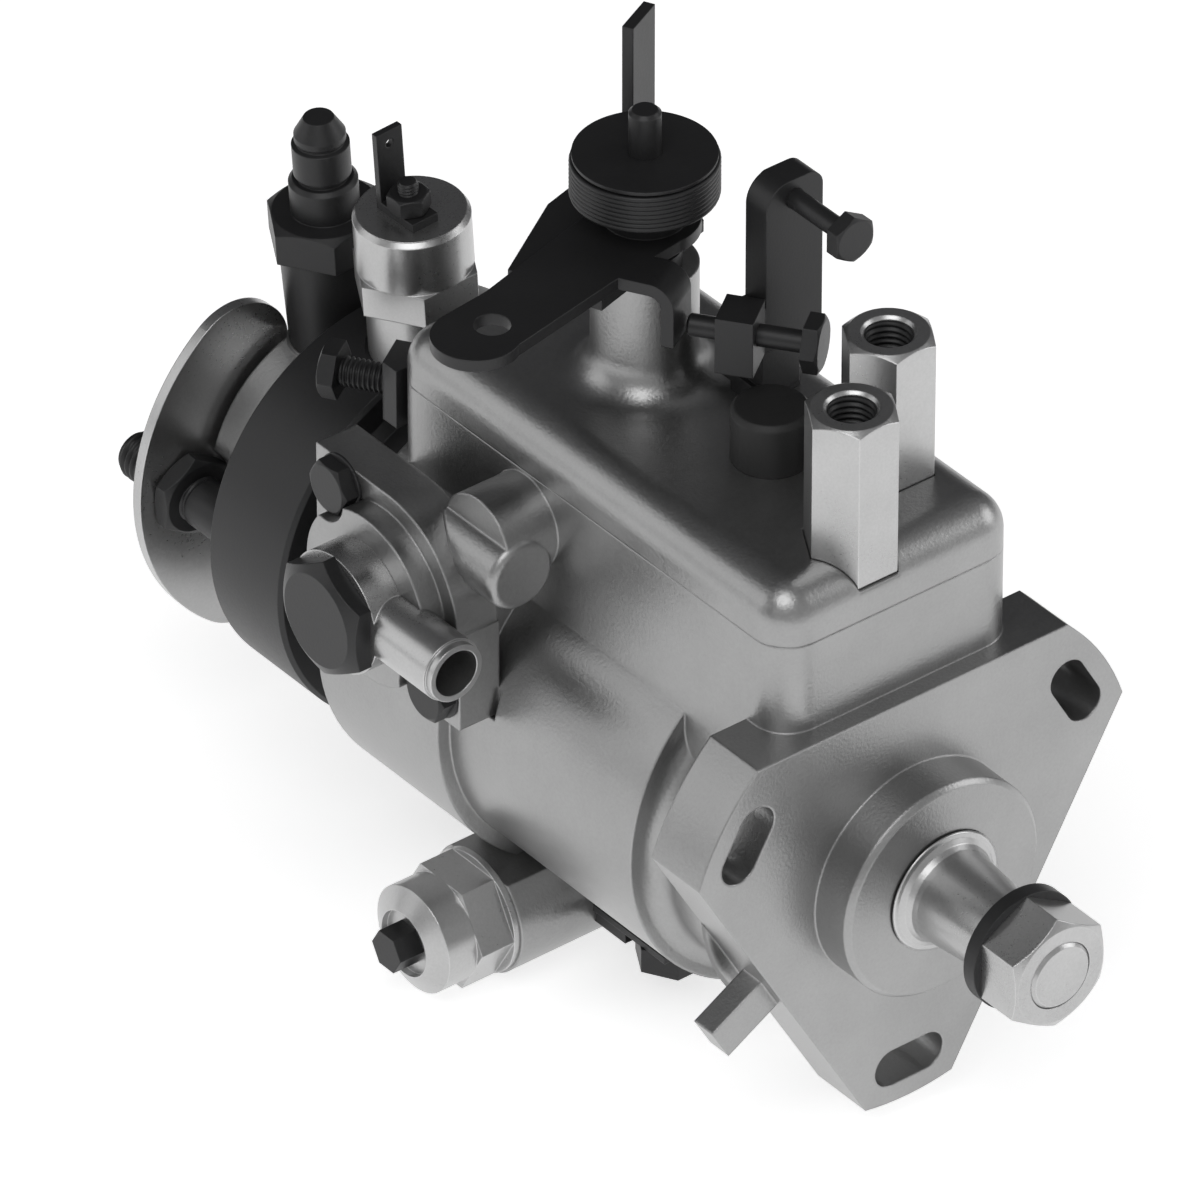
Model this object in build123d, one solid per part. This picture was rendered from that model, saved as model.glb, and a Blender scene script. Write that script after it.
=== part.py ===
from build123d import *
import math
import os

# Frame: origin at the centre of the mounting flange face, on the drive axis.
# The drive end points to -Y, +X is right seen from the front, +Z is up. Units are mm.

# Shared clearances
RUNNING_GAP = 0.05
LOOSE_GAP = 0.4
SEAT_GAP = 0.2

# Mounting flange and spigot
FLANGE_THICKNESS = 14.0
FLANGE_RADIUS = 53.2
FLANGE_CHORD = 35.1
FLANGE_TOP = 38.5
SLOT_CIRCLE = 45.0
SLOT_WIDTH = 8.2
SLOT_TRAVEL = 8.1
SPIGOT_RADIUS = 23.0
SPIGOT_LENGTH = 9.4

# Cylindrical body
NECK_RADIUS = 34.8
NECK_FILLET = 4.0
NECK_END = 32.0
BODY_RADIUS = 41.0
STEP_Y = 86.3
REAR_RADIUS = BODY_RADIUS + 3.0
BODY_END = 122.8
BORE_RADIUS = 34.0
BORE_START = 34.0

# Governor box and cover
BOX_HALF_WIDTH = 28.3
BOX_FRONT = 4.0
BOX_REAR = 120.0
BOX_CORNER = 7.7
SEAM_Z = 57.8
COVER_TOP = 69.0
ROOM_HALF_WIDTH = 22.0
ROOM_FRONT = 38.0
ROOM_REAR = 115.0
ROOM_FLOOR = 20.0
ROOM_ROOF = 65.0

# Pillar nuts on the cover
PILLAR_FLATS = 16.0
PILLAR_BOTTOM = 62.6
PILLAR_TOP = 98.8
PILLAR_HOLE = 4.65
PILLAR_HOLE_DEPTH = 18.0
PILLARS = [(-5.0, 12.8), (15.5, 27.25)]
STUD_RADIUS = 4.0

# Drive shaft
JOURNAL_RADIUS = 10.0
TAPER_BIG = 9.39
TAPER_SMALL = 7.87
TAPER_END = -30.0
SHAFT_THREAD = 7.0
SHAFT_TIP = -43.5
SHAFT_TAIL_RADIUS = 9.2
SHAFT_END = 74.0
WASHER_RADIUS = 12.3
WASHER_FRONT = -33.0
NUT_FLATS = 21.0
NUT_FRONT = -43.0
FLARE = 3.2

# Flyweights and thrust sleeve
CAGE_RADIUS = 30.5
CAGE_FRONT = 37.0
CAGE_REAR = 56.0
SLEEVE_FRONT = 55.6
SLEEVE_REAR = 68.0
SLEEVE_RADIUS = 11.2
COLLAR_RADIUS = 15.0
GROOVE_FRONT = 58.0
GROOVE_REAR = 65.0
ARM_PIVOT = (66.0, 30.0)
PIN_RADIUS = 2.5
LINK_X = -9.0
LINK_Z = 41.7
LINK_RADIUS = 1.2
VALVE_Y = 107.0
VALVE_RADIUS = 3.5

# Cam ring and rotor
CAM_FRONT = 80.0
CAM_REAR = 96.0
CAM_MID = (CAM_FRONT + CAM_REAR) / 2
CAM_BASE = 19.2
CAM_LOBE = 17.4
CAM_SCREW_TOP = -22.0
CAM_SCREW_RADIUS = 4.0
CAM_BALL_RADIUS = 4.6
ROTOR_RADIUS = 16.2
ROTOR_FRONT = 76.0
ROTOR_REAR = 98.0
SHANK_RADIUS = 9.5
SHANK_END = 160.0
ROLLER_RADIUS = 3.6
ROLLER_CENTRE = 13.2
PLUNGER_RADIUS = 3.0

# Hydraulic head and end plate
HEAD_TILT = -3.7
HEAD_FRONT = 100.0
DRUM_FRONT = 138.0
DRUM_REAR = 160.6
DRUM_RADIUS = 41.4
OUTLET_CIRCLE = 34.7
OUTLET_RADIUS = 5.0
END_RADIUS = 28.0
END_DEPTH = 25.4
NOSE_LENGTH = 7.5
END_NOSE = 17.0
END_REAR = DRUM_REAR + END_DEPTH
END_STEP = END_REAR - NOSE_LENGTH
LINER_RADIUS = 17.0
LINER_BORE = 13.9
LINER_OFFSET = 0.8
LINER_REAR = END_STEP - 3.5
VANE_ROTOR = 12.0

# Rear stud that carries the crescent plate
REAR_STUD_X = -32.2
REAR_NUT_HEIGHT = 4.2
CRESCENT_FRONT = END_STEP + 1.2
CRESCENT_THICKNESS = 2.3

# Transfer union on the end plate
UNION_Y = DRUM_REAR + 11.4
UNION_SEAT = 27.2

# Shut-off solenoid on the drum
SOLENOID_Y = 144.0
SOLENOID_THREAD = 8.0
SOLENOID_SEAT = DRUM_RADIUS - 1.2
SOLENOID_TIP = SOLENOID_SEAT - 10.2
SOLENOID_HEX = SOLENOID_SEAT + 13.2
SOLENOID_CAN = SOLENOID_HEX + 6.7
SOLENOID_TOP = SOLENOID_CAN + 11.9
TAB_TOP = SOLENOID_TOP + 17.4
NEEDLE_RADIUS = 3.5

# Advance device under the body
ADVANCE_Y = 88.0
PAD_Z = -BODY_RADIUS - 4.2
ADVANCE_Z = PAD_Z - 0.8
ADVANCE_RADIUS = 13.2
ADVANCE_HALF = 33.0
ADVANCE_TOP = ADVANCE_Z + 10.0
PISTON_RADIUS = 8.5
CAP_THREAD = 9.5
ADVANCE_STUDS = [(-9.0, 59.5), (9.0, 116.5)]

# Side plate with banjo connection
SIDE_BACK = -38.0
SIDE_FRONT = -47.5
SIDE_MID = (96.5, 30.5)
SIDE_HALF = (21.5, 21.0)
BANJO_AXIS = (97.0, 29.7)
BOSS_FACE = -52.3
BANJO_FACE = -59.5
TUBE_X = -54.0
TUBE_Z = 30.0
TUBE_RADIUS = 6.5

# Support of the side plate and the closed stub beside it
SIDE_PAD_TOP = 40.0
STUB_RADIUS = 7.4
STUB_END = 69.0
STUB_AXIS = (-37.0, 43.5)

# Throttle shaft and levers
THROTTLE = (0.0, 79.5)
THROTTLE_RADIUS = 4.0
BOSS_TOP = 93.0
BOSS_RADIUS = 10.2
BOSS_FILLET = 7.0
STOP_PLATE_Z = 96.5
LEVER_Z = 100.5
LEVER_THICKNESS = 2.5
BEND_OUTER = 5.0
STACK_BOTTOM = 107.8
STACK_TOP = 117.3

# Adjusting screws and their bracket
IDLE_Z = 92.0
IDLE_DIRECTION = -53.8
BLOCK = (0.2, 51.7)
IDLE_HEAD = (9.6, 38.8)
MAX_SCREW = (12.5, 116.8)
BRACKET_SCREW = (13.5, 64.2)
BRACKET_SCREW_RADIUS = 2.5
REAR_LUG = (-21.6, 122.9, 51.0)
REAR_DIRECTION = -56.7


def cyl_x(radius, x0, x1, y=0.0, z=0.0):
    """Round bar along X."""
    return Pos((x0 + x1) / 2, y, z) * Rot(0, 90, 0) * Cylinder(radius, abs(x1 - x0))


def cyl_y(radius, y0, y1, x=0.0, z=0.0):
    """Round bar along Y."""
    return Pos(x, (y0 + y1) / 2, z) * Rot(90, 0, 0) * Cylinder(radius, abs(y1 - y0))


def cyl_z(radius, z0, z1, x=0.0, y=0.0):
    """Round bar along Z."""
    return Pos(x, y, (z0 + z1) / 2) * Cylinder(radius, abs(z1 - z0))


def block(x0, x1, y0, y1, z0, z1):
    """Box given by its limits."""
    middle = Pos((x0 + x1) / 2, (y0 + y1) / 2, (z0 + z1) / 2)
    return middle * Box(abs(x1 - x0), abs(y1 - y0), abs(z1 - z0))


def turn_y(points):
    """Solid of revolution about Y from (radius, y) points."""
    return revolve(make_face(Polyline(*points, close=True)), Axis.Y)


def turn_z(points, x=0.0, y=0.0):
    """Solid of revolution about a Z axis from (radius, z) points."""
    face = Plane.XZ * make_face(Polyline(*points, close=True))
    return Pos(x, y, 0) * revolve(face, Axis.Z)


def turn_x(points, y=0.0, z=0.0):
    """Solid of revolution about an X axis from (x, radius) points."""
    return Pos(0, y, z) * revolve(make_face(Polyline(*points, close=True)), Axis.X)


def hexagon(flats, turn=0.0):
    """Hexagon sketch with two corners on the local X axis at turn 0."""
    return Rot(0, 0, turn) * RegularPolygon(flats / 2, 6, major_radius=False)


def hex_z(flats, z0, z1, x=0.0, y=0.0, turn=0.0, chamfer_top=0.0):
    """Hexagon bar along Z with an optional turned chamfer at the top."""
    bar = extrude(Pos(x, y, z0) * hexagon(flats, turn), amount=z1 - z0)
    if chamfer_top > 0:
        corner = flats / math.sqrt(3)
        drop = (corner - flats / 2) * 0.577 + chamfer_top
        outline = [(0, z0), (corner + 1, z0), (corner + 1, z1 - drop)]
        outline += [(corner + 0.01, z1 - drop), (flats / 2 - chamfer_top, z1), (0, z1)]
        bar = bar & turn_z(outline, x, y)
    return bar


def hex_y(flats, y0, y1, x=0.0, z=0.0, turn=0.0):
    """Hexagon bar along Y."""
    sketch = Pos(x, 0, z) * (Plane.XZ * hexagon(flats, turn))
    return Pos(0, y0, 0) * extrude(sketch, amount=-(y1 - y0))


def hex_x(flats, x0, x1, y=0.0, z=0.0, turn=0.0):
    """Hexagon bar along X."""
    sketch = Pos(0, y, z) * (Plane.YZ * hexagon(flats, turn))
    return Pos(x0, 0, 0) * extrude(sketch, amount=x1 - x0)


def prism(points, z0, z1):
    """Upright prism from an XY outline."""
    return Pos(0, 0, z0) * extrude(make_face(Polyline(*points, close=True)), amount=z1 - z0)


def along(x, y, z, angle):
    """Location whose local X runs at the given angle in the XY plane."""
    return Pos(x, y, z) * Rot(0, 0, angle)


def head_frame(y=0.0):
    """Frame of the tilted hydraulic head at one station of the axis."""
    return Rot(0, HEAD_TILT, 0) * Pos(0, y, 0)


def keep(shape, name):
    """Write one named part."""
    export_step(shape, "parts/" + name + ".step")


os.makedirs("parts", exist_ok=True)

# Advance housing envelope, used for its own body and for its seat in the casting
advance_envelope = cyl_x(ADVANCE_RADIUS, -ADVANCE_HALF, ADVANCE_HALF, ADVANCE_Y, ADVANCE_Z)
advance_envelope &= block(-40, 40, 60, 115, -70, ADVANCE_TOP)

# Side plate envelope, used for the plate and for its seat in the casting
plate = Circle(SIDE_HALF[1])
plate += Pos(SIDE_HALF[0] / 2, SIDE_HALF[1] / 2) * Rectangle(*SIDE_HALF)
plate += Pos(-SIDE_HALF[0] / 2, -SIDE_HALF[1] / 2) * Rectangle(*SIDE_HALF)
side_envelope = Pos(SIDE_FRONT, *SIDE_MID) * extrude(Plane.YZ * plate, amount=SIDE_BACK - SIDE_FRONT)

# Pump housing: flange, spigot, turned body, governor box, pads
flange = Circle(FLANGE_RADIUS)
for angle, distance in [(-30, FLANGE_CHORD), (210, FLANGE_CHORD), (90, FLANGE_TOP)]:
    flange -= Rot(0, 0, angle) * Pos(distance + 50, 0) * Rectangle(100, 200)
for angle in [30, 150, 270]:
    slot = SlotCenterToCenter(SLOT_TRAVEL, SLOT_WIDTH)
    flange -= Rot(0, 0, angle) * Pos(SLOT_CIRCLE, 0) * Rot(0, 0, 90) * slot
housing = extrude(Plane.XZ * flange, amount=-FLANGE_THICKNESS)
index_bar = Pos(41.75, 0) * Rectangle(13.5, 7.8)
housing += Pos(0, 4, 0) * extrude(Plane.XZ * Rot(0, 0, 210) * index_bar, amount=-5.4)
body_lines = Polyline((0, FLANGE_THICKNESS), (0, BODY_END), (REAR_RADIUS, BODY_END), (REAR_RADIUS, STEP_Y))
body_lines += Polyline((REAR_RADIUS, STEP_Y), (BODY_RADIUS, STEP_Y), (BODY_RADIUS, NECK_END))
neck_rim = NECK_RADIUS + NECK_FILLET
neck_front = FLANGE_THICKNESS + NECK_FILLET
neck_rear = NECK_END - NECK_FILLET
body_lines += Line((BODY_RADIUS, NECK_END), (neck_rim, NECK_END))
body_lines += RadiusArc((neck_rim, NECK_END), (NECK_RADIUS, neck_rear), -NECK_FILLET)
body_lines += Line((NECK_RADIUS, neck_rear), (NECK_RADIUS, neck_front))
body_lines += RadiusArc((NECK_RADIUS, neck_front), (neck_rim, FLANGE_THICKNESS), -NECK_FILLET)
body_lines += Line((neck_rim, FLANGE_THICKNESS), (0, FLANGE_THICKNESS))
housing += revolve(make_face(body_lines), Axis.Y)
spigot = [(0, 0), (0, -SPIGOT_LENGTH), (SPIGOT_RADIUS - 1, -SPIGOT_LENGTH)]
spigot += [(SPIGOT_RADIUS, 1 - SPIGOT_LENGTH), (SPIGOT_RADIUS, 0)]
housing += turn_y(spigot)
box_outline = RectangleRounded(2 * BOX_HALF_WIDTH, BOX_REAR - BOX_FRONT, BOX_CORNER)
box_middle = (BOX_FRONT + BOX_REAR) / 2
box = Pos(0, box_middle, 0) * extrude(box_outline, amount=SEAM_Z)
box -= block(-30, 30, 0, FLANGE_THICKNESS, 0, 30)
housing += box
housing += block(-15, 15, 52, 121.5, PAD_Z, -30)
housing += block(SIDE_BACK, -25, 80, 115, 12, SIDE_PAD_TOP)
stub = cyl_y(STUB_RADIUS, STUB_END, 88, *STUB_AXIS)
housing += fillet(stub.edges().sort_by(Axis.Y)[0], 1.8)
housing += cyl_x(9.5, SIDE_BACK - 2, -25, 79, 47.5)
housing -= block(-60, SIDE_BACK, SIDE_MID[0] - 22.5, SIDE_MID[0] + 22.5, 9, 35)
housing -= side_envelope
housing -= block(-40, 40, 0, 125, SEAM_Z, SEAM_Z + 10)
housing -= cyl_y(BORE_RADIUS, BORE_START, BODY_END)
housing -= cyl_y(JOURNAL_RADIUS, -SPIGOT_LENGTH - 1, BORE_START)
room = RectangleRounded(2 * ROOM_HALF_WIDTH, ROOM_REAR - ROOM_FRONT, 4)
room_middle = (ROOM_FRONT + ROOM_REAR) / 2
housing -= Pos(0, room_middle, ROOM_FLOOR) * extrude(room, amount=SEAM_Z)
housing -= cyl_x(PIN_RADIUS, -25, 25, *ARM_PIVOT)
for x, y in PILLARS:
    housing -= cyl_z(STUD_RADIUS, 42, 60, x, y)
housing -= advance_envelope
housing -= Pos(0, ADVANCE_Y, ADVANCE_TOP - 2) * extrude(SlotOverall(18, 11), amount=12)
for x, y in ADVANCE_STUDS:
    housing -= cyl_z(STUD_RADIUS, PAD_Z - 0.8, PAD_Z + 9.2, x, y)
for y, z in [(110, 47.0), (81, 16)]:
    housing -= cyl_x(3, -39, -30, y, z)
keep(housing, "pump_housing")

# Governor cover
outline = Pos(0, box_middle, 0) * box_outline
cover = Pos(0, 0, SEAM_Z) * extrude(outline, amount=COVER_TOP - SEAM_Z)
cover = fillet(cover.edges().group_by(Axis.Z)[-1], BOX_CORNER - 0.2)
boss_foot = BOSS_RADIUS + BOSS_FILLET
boss = Polyline((0, 66), (boss_foot, 66), (boss_foot, COVER_TOP))
boss += RadiusArc((boss_foot, COVER_TOP), (BOSS_RADIUS, COVER_TOP + BOSS_FILLET), BOSS_FILLET)
boss += Polyline((BOSS_RADIUS, COVER_TOP + BOSS_FILLET), (BOSS_RADIUS, BOSS_TOP), (0, BOSS_TOP), (0, 66))
cover += Pos(*THROTTLE, 0) * revolve(Plane.XZ * make_face(boss), Axis.Z)
cover -= Pos(0, room_middle, SEAM_Z) * extrude(room, amount=ROOM_ROOF - SEAM_Z)
cover -= cyl_z(THROTTLE_RADIUS + RUNNING_GAP, 60, BOSS_TOP + 1, *THROTTLE)
cover -= cyl_z(5, 60, 70, 0.4, 42.7)
cover -= cyl_z(BRACKET_SCREW_RADIUS, 60, 70, *BRACKET_SCREW)
for x, y in PILLARS:
    cover -= hex_z(PILLAR_FLATS + 2 * SEAT_GAP, PILLAR_BOTTOM, 75, x, y)
    cover -= cyl_z(STUD_RADIUS, 57, 64, x, y)
keep(cover, "governor_cover")

# Hexagon pillars with blind threaded tops and a stud below that clamps the cover
pillars = Part()
for x, y in PILLARS:
    nut = hex_z(PILLAR_FLATS, PILLAR_BOTTOM, PILLAR_TOP, x, y, chamfer_top=0.4)
    mouth = [(0, PILLAR_TOP + 1), (PILLAR_HOLE + 1.6, PILLAR_TOP + 1), (PILLAR_HOLE, PILLAR_TOP - 0.6)]
    mouth += [(PILLAR_HOLE, PILLAR_TOP - PILLAR_HOLE_DEPTH), (0, PILLAR_TOP - PILLAR_HOLE_DEPTH - 2)]
    nut -= turn_z(mouth, x, y)
    pillars += nut + cyl_z(STUD_RADIUS, 43, PILLAR_BOTTOM, x, y)
keep(pillars, "pillar_nuts")

# Blanking cap on the cover
bung = [(0, 65), (5, 65), (5, COVER_TOP), (7.6, COVER_TOP), (7.6, 79.4), (6.8, 80.4), (0, 80.4)]
keep(turn_z(bung, 0.4, 42.7), "cover_bung")

# Drive shaft with a flared root, key, washer and nut
shaft = [(0, SHAFT_TIP), (SHAFT_THREAD - 0.8, SHAFT_TIP), (SHAFT_THREAD, SHAFT_TIP + 0.8)]
shaft += [(SHAFT_THREAD, TAPER_END), (TAPER_SMALL, TAPER_END)]
flare_y = -SPIGOT_LENGTH - LOOSE_GAP
for step in range(5):
    turn = math.radians(22.5 * step)
    flare_r = TAPER_BIG + FLARE * (1 - math.cos(turn))
    shaft += [(flare_r, flare_y - FLARE * (1 - math.sin(turn)))]
shaft += [(JOURNAL_RADIUS - RUNNING_GAP, flare_y)]
shaft += [(JOURNAL_RADIUS - RUNNING_GAP, 50)]
shaft += [(SHAFT_TAIL_RADIUS, 50), (SHAFT_TAIL_RADIUS, SHAFT_END), (0, SHAFT_END)]
drive_shaft = turn_y(shaft)
drive_shaft -= block(-3, 3, SHAFT_END - 6, SHAFT_END + 1, -12, 12)
key_spot = Rot(0, 45, 0) * Pos(8.6, -19.5, 0) * Rot(0, 0, 4.2)
key = key_spot * Cylinder(6.0, 4.0)
key &= Rot(0, 45, 0) * block(4, 10.6, -30, -10, -3, 3)
drive_shaft -= key
keep(drive_shaft, "drive_shaft")
keep(key, "shaft_key")
washer = cyl_y(WASHER_RADIUS, WASHER_FRONT, TAPER_END) - cyl_y(SHAFT_THREAD, -35, -29)
keep(washer, "drive_washer")
nut = hex_y(NUT_FLATS, NUT_FRONT, WASHER_FRONT, turn=30)
outline = [(0, NUT_FRONT), (10.1, NUT_FRONT), (12.3, NUT_FRONT + 1.3), (12.3, WASHER_FRONT)]
nut &= turn_y(outline + [(0, WASHER_FRONT)])
nut -= cyl_y(SHAFT_THREAD, -44, -32)
keep(nut, "drive_nut")

# Flyweight cage with four weights
cage = cyl_y(CAGE_RADIUS, CAGE_FRONT, CAGE_REAR) - cyl_y(28, CAGE_FRONT + 3, CAGE_REAR + 1)
cage += cyl_y(15, CAGE_FRONT, 48)
cage -= cyl_y(JOURNAL_RADIUS - RUNNING_GAP, 30, 60)
keep(cage, "weight_cage")
weights = Part()
for index in range(4):
    weight = cyl_y(28, CAGE_FRONT + 3, 54.5) - cyl_y(17.5, 35, 60)
    weight &= block(8, 30, 35, 60, -10, 10)
    weight += block(12.2, 20, 51.5, 54.5, -5, 5)
    weights += Rot(0, 90 * index + 45, 0) * weight
keep(weights, "governor_weights")

# Thrust sleeve, governor arm and its pivot
sleeve = [(SHAFT_TAIL_RADIUS + RUNNING_GAP, SLEEVE_FRONT), (COLLAR_RADIUS, SLEEVE_FRONT)]
sleeve += [(COLLAR_RADIUS, GROOVE_FRONT)]
sleeve += [(SLEEVE_RADIUS, GROOVE_FRONT), (SLEEVE_RADIUS, GROOVE_REAR), (COLLAR_RADIUS, GROOVE_REAR)]
sleeve += [(COLLAR_RADIUS, SLEEVE_REAR), (SHAFT_TAIL_RADIUS + RUNNING_GAP, SLEEVE_REAR)]
keep(turn_y(sleeve), "thrust_sleeve")
arm_side = [(59.4, -3), (63.6, -3), (63.6, 12), (68.5, 24), (68.5, 34), (67, 38), (67, 50)]
arm_side += [(64.5, 50), (64.5, 36), (62.5, 24), (59.4, 12)]
arm_face = Plane.YZ * make_face(Polyline(*arm_side, close=True))
arm = Pos(11.6, 0, 0) * extrude(arm_face, amount=3) + Pos(-14.6, 0, 0) * extrude(arm_face, amount=3)
arm += block(-14.6, 14.6, 64.5, 67, 38, 50)
for x in [-14.6, 11.6]:
    arm += cyl_x(5, x, x + 3, *ARM_PIVOT)
arm -= cyl_x(PIN_RADIUS + RUNNING_GAP, -20, 20, *ARM_PIVOT)
arm -= cyl_y(LINK_RADIUS + 0.7, 60, 70, LINK_X, LINK_Z)
keep(arm, "governor_arm")
keep(cyl_x(PIN_RADIUS, -25, 25, *ARM_PIVOT), "arm_pivot_pin")

# Link rod and metering valve
link = cyl_y(LINK_RADIUS, 61, VALVE_Y - 2.5, LINK_X, LINK_Z)
for y0 in [63.0, 67.6]:
    link += cyl_y(3, y0, y0 + 0.9, LINK_X, LINK_Z)
link += cyl_z(3.2, LINK_Z - 0.7, LINK_Z + 0.7, LINK_X, VALVE_Y)
link -= cyl_z(LINK_RADIUS + 0.4, LINK_Z - 2, LINK_Z + 2, LINK_X, VALVE_Y)
keep(link, "governor_link")
valve = cyl_z(VALVE_RADIUS, 14, 38, 0, VALVE_Y)
valve += cyl_z(5, 38, 40.5, 0, VALVE_Y) + block(LINK_X, 0, VALVE_Y - 2, VALVE_Y + 2, 38, 40.5)
valve += cyl_z(2, 38, 40.5, LINK_X, VALVE_Y) + cyl_z(LINK_RADIUS, 38, 43.4, LINK_X, VALVE_Y)
keep(valve, "metering_valve")

# Cam ring with four inner lobes and its advance screw
lobe_points = []
for index in range(16):
    angle = math.radians(22.5 * index)
    radius = (CAM_BASE + CAM_LOBE) / 2 + (CAM_BASE - CAM_LOBE) / 2 * math.cos(4 * angle)
    lobe_points.append((radius * math.cos(angle), radius * math.sin(angle)))
lobes = make_face(Spline(*lobe_points, periodic=True))
cam = cyl_y(BORE_RADIUS - RUNNING_GAP, CAM_FRONT, CAM_REAR)
cam -= Pos(0, CAM_FRONT - 1, 0) * extrude(Plane.XZ * lobes, amount=-(CAM_REAR - CAM_FRONT + 2))
cam -= cyl_z(CAM_SCREW_RADIUS, -BORE_RADIUS - 6, CAM_SCREW_TOP, 0, CAM_MID)
keep(cam, "cam_ring")
screw = [(0, CAM_SCREW_TOP), (CAM_SCREW_RADIUS, CAM_SCREW_TOP), (CAM_SCREW_RADIUS, ADVANCE_Z + 6)]
screw += [(3.2, ADVANCE_Z + 5), (3.2, ADVANCE_Z + 4), (CAM_BALL_RADIUS, ADVANCE_Z + 2)]
screw += [(CAM_BALL_RADIUS, ADVANCE_Z - 2), (3.2, ADVANCE_Z - 4), (0, ADVANCE_Z - 4)]
keep(turn_z(screw, 0, CAM_MID), "cam_advance_screw")

# Distributor rotor with cross bore, rollers, shoes and plungers
rotor = cyl_y(ROTOR_RADIUS, ROTOR_FRONT, ROTOR_REAR) + cyl_y(8, SHAFT_END, ROTOR_FRONT)
rotor += block(-3, 3, SHAFT_END - 6, SHAFT_END, -7, 7)
rotor += cyl_y(SHANK_RADIUS, ROTOR_REAR, SHANK_END)
rotor += block(-4, 4, SHANK_END, LINER_REAR - 2, -4, 4)
for side in [-1, 1]:
    rotor -= block(side * 8, side * 18, CAM_MID - 8, CAM_MID + 8, -4.4, 4.4)
rotor -= cyl_x(PLUNGER_RADIUS, -9, 9, CAM_MID)
rotor -= cyl_y(1.5, CAM_MID, 150)
rotor -= cyl_z(1.5, 0, 10, 0, 130)
keep(rotor, "distributor_rotor")
plungers = Part()
shoes = Part()
rollers = Part()
for side in [-1, 1]:
    plungers += cyl_x(PLUNGER_RADIUS, side * 2.2, side * 9, CAM_MID)
    shoe = block(side * 9, side * 14.4, CAM_MID - 7.6, CAM_MID + 7.6, -4.4, 4.4)
    roller = cyl_y(ROLLER_RADIUS, CAM_MID - 7.4, CAM_MID + 7.4, side * ROLLER_CENTRE)
    shoes += shoe - cyl_y(ROLLER_RADIUS, CAM_MID - 9, CAM_MID + 9, side * ROLLER_CENTRE)
    rollers += roller
keep(plungers, "pumping_plungers")
keep(shoes, "roller_shoes")
keep(rollers, "cam_rollers")

# Hydraulic head with outlet bores
head = [(SHANK_RADIUS + RUNNING_GAP, HEAD_FRONT), (BORE_RADIUS, HEAD_FRONT), (BORE_RADIUS, BODY_END)]
head += [(33.6, BODY_END), (33.6, DRUM_FRONT - 2), (35.6, DRUM_FRONT), (DRUM_RADIUS - 0.8, DRUM_FRONT)]
head += [(DRUM_RADIUS, DRUM_FRONT + 0.8), (DRUM_RADIUS, DRUM_REAR - 0.8), (DRUM_RADIUS - 0.8, DRUM_REAR)]
head += [(SHANK_RADIUS + RUNNING_GAP, DRUM_REAR)]
head = turn_y(head)
head -= cyl_z(VALVE_RADIUS + RUNNING_GAP, 13, 36, 0, VALVE_Y)
for angle in [45, 135, 225, 315]:
    place = Rot(0, angle + HEAD_TILT, 0) * Pos(0, 0, OUTLET_CIRCLE)
    head -= place * cyl_y(OUTLET_RADIUS, DRUM_REAR - 12, DRUM_REAR + 1)
    head -= Rot(0, angle + HEAD_TILT, 0) * Pos(0, 0, 22.5) * cyl_y(2.5, DRUM_REAR - 9, DRUM_REAR + 1)
seat = cyl_z(SOLENOID_THREAD, SOLENOID_TIP, SOLENOID_SEAT + 4.8)
seat += cyl_z(10.6, SOLENOID_SEAT, SOLENOID_SEAT + 4.8)
head -= head_frame(SOLENOID_Y) * seat
head -= head_frame(SOLENOID_Y) * cyl_z(NEEDLE_RADIUS + 0.5, SOLENOID_TIP - 6, SOLENOID_TIP + 1)
head -= cyl_y(5, 150, 162, REAR_STUD_X)
keep(head, "hydraulic_head")

# Transfer pump: eccentric liner, rotor and vanes
liner = cyl_y(LINER_RADIUS, DRUM_REAR, LINER_REAR) - cyl_y(LINER_BORE, 150, 180, LINER_OFFSET)
keep(liner, "transfer_liner")
vane_rotor = cyl_y(VANE_ROTOR, DRUM_REAR + 0.1, LINER_REAR - 0.1)
vane_rotor -= block(-4, 4, 150, 180, -4, 4)
vanes = Part()
for side in [-1, 1]:
    vane = block(side * 6, side * 13.0, DRUM_REAR + 0.1, LINER_REAR - 0.1, -1, 1)
    vane_rotor -= vane
    vanes += vane
keep(vane_rotor, "transfer_rotor")
keep(vanes, "transfer_vanes")

# End plate and its sunk screws
end_plate = [(0, DRUM_REAR), (END_RADIUS, DRUM_REAR), (END_RADIUS, END_STEP - 1), (END_RADIUS - 1, END_STEP)]
end_plate += [(END_NOSE, END_STEP), (END_NOSE, END_REAR - 1), (END_NOSE - 1, END_REAR), (0, END_REAR)]
end_plate = turn_y(end_plate)
end_plate += head_frame(UNION_Y) * cyl_z(9.2, 15, UNION_SEAT)
end_plate -= head_frame(UNION_Y) * cyl_z(30, UNION_SEAT, 40)
end_plate -= head_frame(UNION_Y) * cyl_z(6.5, 18, 30)
end_plate -= cyl_y(LINER_RADIUS, DRUM_REAR - 1, LINER_REAR)
end_plate -= cyl_y(9.4, DRUM_REAR - 1, END_REAR, REAR_STUD_X)
end_screws = Part()
for angle in [45, 135, 225, 315]:
    place = Rot(0, angle + HEAD_TILT, 0) * Pos(0, 0, 22.5)
    screw = place * cyl_y(2.5, DRUM_REAR - 9, END_STEP - 3.5)
    screw += place * cyl_y(4.2, END_STEP - 4.1, END_STEP + 0.4)
    screw -= place * hex_y(4, END_STEP - 2, END_STEP + 1.5)
    end_screws += screw
    end_plate -= place * cyl_y(2.5, DRUM_REAR - 10, END_STEP - 3.5)
    end_plate -= place * cyl_y(4.2, END_STEP - 4.1, END_STEP + 1.5)
keep(end_plate, "end_plate")
keep(end_screws, "end_plate_screws")

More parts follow.
